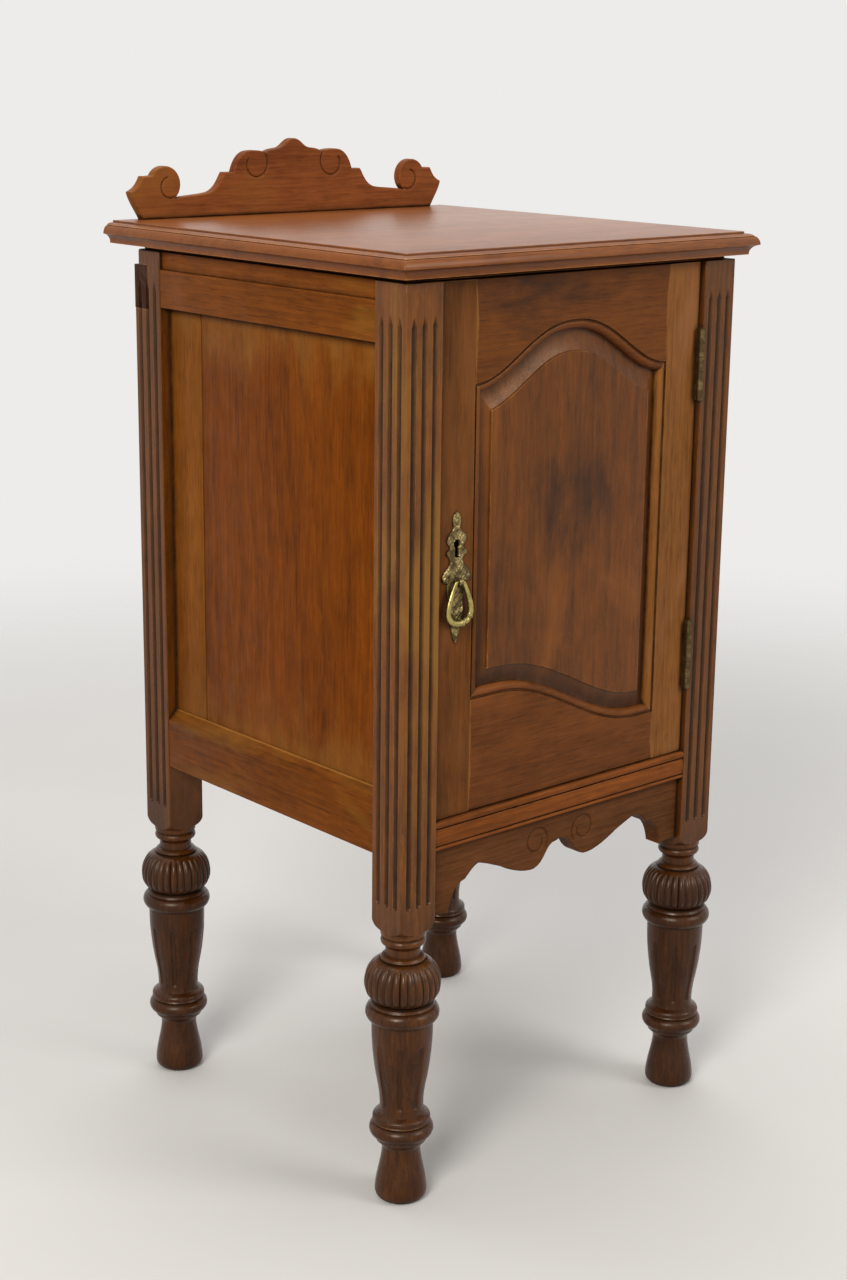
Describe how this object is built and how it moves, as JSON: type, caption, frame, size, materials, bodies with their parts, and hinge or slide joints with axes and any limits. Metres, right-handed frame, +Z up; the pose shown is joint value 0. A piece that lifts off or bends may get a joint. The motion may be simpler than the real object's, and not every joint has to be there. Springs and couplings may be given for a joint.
{
  "type": "bedside pot cupboard",
  "caption": "Tall square bedside cupboard with one arched panel door, fluted posts on turned legs, a moulded top with a carved gallery and a scrolled apron.",
  "frame": {"origin": "on the floor, under the centre of the top board's outline", "axes": "+Z up, -Y towards the front with the door, +X to the right as seen from the front"},
  "size_m": [0.415, 0.415, 0.8893],
  "materials": {
    "frame_wood": "aged wax polish",
    "top_polish": "worn french polish",
    "carved_wood": "aged wax polish",
    "dark_wood": "aged wax polish with dark dirt",
    "panel_wood": "aged wax polish",
    "inner_wood": "bare secondary wood",
    "hinge_brass": "dull brass",
    "plate_brass": "tarnished cast brass",
    "bail_brass": "rubbed brass",
    "lock_iron": "dark iron",
    "screw_iron": "dark iron"
  },
  "bodies": {
    "carcass": {"top_board": "top_polish", "gallery": "carved_wood", "gallery_dowels": "inner_wood", "under_top_frame": "dark_wood", "top_blocks": "inner_wood", "post_front_left": "frame_wood", "post_front_right": "frame_wood", "post_back_left": "frame_wood", "post_back_right": "frame_wood", "repair_slip": "dark_wood", "side_top_rail_left": "frame_wood", "side_top_rail_right": "frame_wood", "side_bottom_rail_left": "frame_wood", "side_bottom_rail_right": "frame_wood", "side_front_board_left": "panel_wood", "side_back_board_left": "panel_wood", "side_front_board_right": "panel_wood", "side_back_board_right": "panel_wood", "front_top_rail": "inner_wood", "sill_rail": "frame_wood", "apron": "dark_wood", "back_top_rail": "inner_wood", "back_bottom_rail": "inner_wood", "back_boards": "inner_wood", "bottom_board": "inner_wood", "bottom_cleats": "inner_wood", "shelf": "inner_wood", "shelf_cleats": "inner_wood", "door_stop": "inner_wood", "top_screws": "screw_iron", "cleat_screws": "screw_iron", "hinge_post_leaves": "hinge_brass", "hinge_pins": "hinge_brass", "hinge_post_screws": "hinge_brass"},
    "door": {"door_stile_left": "frame_wood", "door_stile_right": "frame_wood", "door_top_rail": "frame_wood", "door_bottom_rail": "frame_wood", "door_panel": "panel_wood", "hinge_door_leaves": "hinge_brass", "hinge_door_screws": "hinge_brass", "handle_plate": "plate_brass", "handle_post": "plate_brass", "plate_pins": "plate_brass", "lock_case": "lock_iron", "lock_cap": "lock_iron", "lock_screws": "lock_iron"},
    "bail": {"bail": "bail_brass"},
    "lock_bolt": {"lock_bolt": "lock_iron"}
  },
  "joints": [
    {"name": "door_hinge", "type": "hinge", "parent": "carcass", "child": "door", "pos_m": [0.152, -0.1919, 0.55], "axis": [0, 0, 1], "range_deg": [0, 170]},
    {"name": "bail_pivot", "type": "hinge", "parent": "door", "child": "bail", "pos_m": [-0.132, -0.1924, 0.551], "axis": [-1, 0, 0], "range_deg": [0, 120]},
    {"name": "lock_bolt_slide", "type": "slide", "parent": "door", "child": "lock_bolt", "axis": [-1, 0, 0], "range_m": [0, 0.006]}
  ]
}
